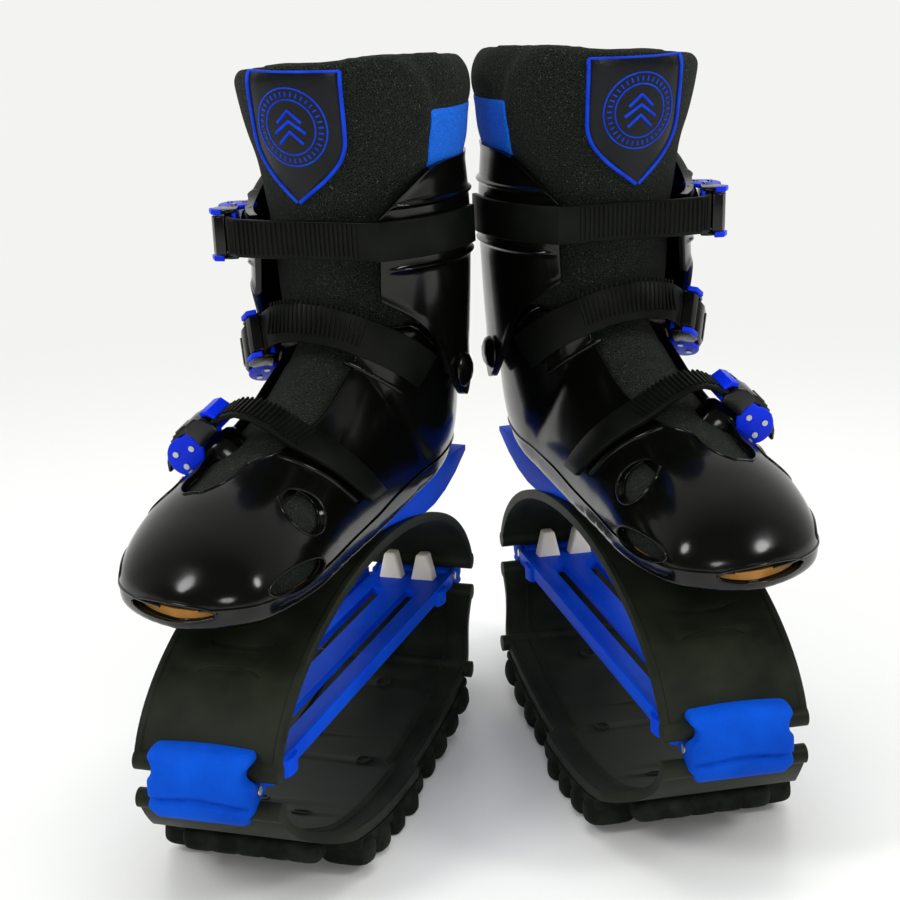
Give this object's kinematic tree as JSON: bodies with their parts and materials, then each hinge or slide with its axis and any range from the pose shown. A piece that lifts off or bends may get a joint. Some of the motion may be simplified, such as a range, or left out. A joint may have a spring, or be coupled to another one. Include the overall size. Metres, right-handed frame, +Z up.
{
  "type": "jumping shoes",
  "caption": "Pair of rebound jumping boots: hard boots with ratchet straps on sprung upper and lower arches, joined by end caps and a tension band.",
  "frame": {"origin": "centre of the pair's bounding box, on the floor", "axes": "+Z up, +Y towards the heels, +X from the right shoe to the left shoe"},
  "size_m": [0.3534, 0.3868, 0.4034],
  "materials": {
    "arch_plastic": "moulded dark grey plastic, faint grain",
    "tread_rubber": "matte black rubber",
    "blue_clip": "royal blue plastic, satin",
    "blue_band": "royal blue plastic, satin",
    "cream_rubber": "cream rubber",
    "shell_plastic": "gloss black plastic",
    "liner_fabric": "black spacer mesh",
    "insole_board": "tan board",
    "badge_leather": "satin dark patch with blue piping",
    "strap_plastic": "ribbed black plastic",
    "lever_plastic": "gloss black plastic",
    "steel": "plain steel"
  },
  "bodies": {
    "arches": {"right_lower_arch": "arch_plastic", "right_tread": "tread_rubber", "left_lower_arch": "arch_plastic", "left_tread": "tread_rubber"},
    "right_band": {"right_tension_band": "blue_band", "right_spring_lug_inner": "cream_rubber", "right_spring_lug_outer": "cream_rubber", "right_front_cap": "blue_clip", "right_rear_cap": "blue_clip", "right_front_pin": "steel", "right_rear_pin": "steel"},
    "right_boot": {"right_upper_arch": "arch_plastic", "right_heel_wedge": "blue_band", "right_boot_shell": "shell_plastic", "right_liner": "liner_fabric", "right_tongue": "liner_fabric", "right_insole": "insole_board", "right_badge": "badge_leather", "right_ankle_rivet_inner": "shell_plastic", "right_ankle_rivet_outer": "shell_plastic", "right_sole_bolt_front": "steel", "right_sole_bolt_rear": "steel", "right_toe_strap": "strap_plastic", "right_instep_strap": "strap_plastic", "right_toe_buckle_frame": "blue_clip", "right_instep_buckle_frame": "blue_clip"},
    "right_cuff": {"right_cuff": "shell_plastic", "right_cuff_strap": "strap_plastic", "right_cuff_buckle_frame": "blue_clip"},
    "right_toe_lever": {"right_toe_buckle_lever": "lever_plastic"},
    "right_instep_lever": {"right_instep_buckle_lever": "lever_plastic"},
    "right_cuff_lever": {"right_cuff_buckle_lever": "lever_plastic"},
    "left_band": {"left_tension_band": "blue_band", "left_spring_lug_inner": "cream_rubber", "left_spring_lug_outer": "cream_rubber", "left_front_cap": "blue_clip", "left_rear_cap": "blue_clip", "left_front_pin": "steel", "left_rear_pin": "steel"},
    "left_boot": {"left_upper_arch": "arch_plastic", "left_heel_wedge": "blue_band", "left_boot_shell": "shell_plastic", "left_liner": "liner_fabric", "left_tongue": "liner_fabric", "left_insole": "insole_board", "left_badge": "badge_leather", "left_ankle_rivet_inner": "shell_plastic", "left_ankle_rivet_outer": "shell_plastic", "left_sole_bolt_front": "steel", "left_sole_bolt_rear": "steel", "left_toe_strap": "strap_plastic", "left_instep_strap": "strap_plastic", "left_toe_buckle_frame": "blue_clip", "left_instep_buckle_frame": "blue_clip"},
    "left_cuff": {"left_cuff": "shell_plastic", "left_cuff_strap": "strap_plastic", "left_cuff_buckle_frame": "blue_clip"},
    "left_toe_lever": {"left_toe_buckle_lever": "lever_plastic"},
    "left_instep_lever": {"left_instep_buckle_lever": "lever_plastic"},
    "left_cuff_lever": {"left_cuff_buckle_lever": "lever_plastic"}
  },
  "joints": [
    {"name": "right_rebound", "type": "slide", "parent": "arches", "child": "right_boot", "axis": [0, 0, 1], "range_m": [-0.04, 0], "stiffness_N_per_m": 20000, "deforming": ["right_upper_arch"]},
    {"name": "right_band_drop", "type": "slide", "parent": "arches", "child": "right_band", "axis": [0, 0, 1], "range_m": [-0.02, 0], "deforming": ["right_lower_arch", "right_tread"]},
    {"name": "right_cuff_lean", "type": "hinge", "parent": "right_boot", "child": "right_cuff", "pos_m": [-0.05647, 0.0481, 0.231], "axis": [0.9155, -0.4024, 0], "range_deg": [0, 8], "stiffness_Nm_per_rad": 6, "deforming": ["right_liner", "right_tongue", "right_badge"]},
    {"name": "right_toe_lever_open", "type": "hinge", "parent": "right_boot", "child": "right_toe_lever", "pos_m": [-0.14055, -0.05103, 0.22439], "axis": [0.2843, 0.949, 0.1359], "range_deg": [0, 95]},
    {"name": "right_instep_lever_open", "type": "hinge", "parent": "right_boot", "child": "right_instep_lever", "pos_m": [-0.11819, 0.01857, 0.25104], "axis": [-0.1424, 0.5633, 0.8139], "range_deg": [0, 95]},
    {"name": "right_cuff_lever_open", "type": "hinge", "parent": "right_cuff", "child": "right_cuff_lever", "pos_m": [-0.13156, 0.01687, 0.31374], "axis": [-0.018, 0.0005, 0.9998], "range_deg": [0, 95]},
    {"name": "left_rebound", "type": "slide", "parent": "arches", "child": "left_boot", "axis": [0, 0, 1], "range_m": [-0.04, 0], "stiffness_N_per_m": 20000, "deforming": ["left_upper_arch"]},
    {"name": "left_band_drop", "type": "slide", "parent": "arches", "child": "left_band", "axis": [0, 0, 1], "range_m": [-0.02, 0], "deforming": ["left_lower_arch", "left_tread"]},
    {"name": "left_cuff_lean", "type": "hinge", "parent": "left_boot", "child": "left_cuff", "pos_m": [0.0711, 0.08523, 0.231], "axis": [0.9482, 0.3176, 0], "range_deg": [0, 8], "stiffness_Nm_per_rad": 6, "deforming": ["left_liner", "left_tongue", "left_badge"]},
    {"name": "left_toe_lever_open", "type": "hinge", "parent": "left_boot", "child": "left_toe_lever", "pos_m": [0.14583, -0.02113, 0.22439], "axis": [0.197, -0.9709, -0.1359], "range_deg": [0, 95]},
    {"name": "left_instep_lever_open", "type": "hinge", "parent": "left_boot", "child": "left_instep_lever", "pos_m": [0.12988, 0.05021, 0.25104], "axis": [-0.193, -0.5481, -0.8139], "range_deg": [0, 95]},
    {"name": "left_cuff_lever_open", "type": "hinge", "parent": "left_cuff", "child": "left_cuff_lever", "pos_m": [0.14305, 0.04731, 0.31374], "axis": [-0.018, 0.0011, -0.9998], "range_deg": [0, 95]}
  ],
  "couplings": [
    {"joint": "right_band_drop", "follows": "right_rebound", "ratio": 0.5},
    {"joint": "left_band_drop", "follows": "left_rebound", "ratio": 0.5}
  ]
}
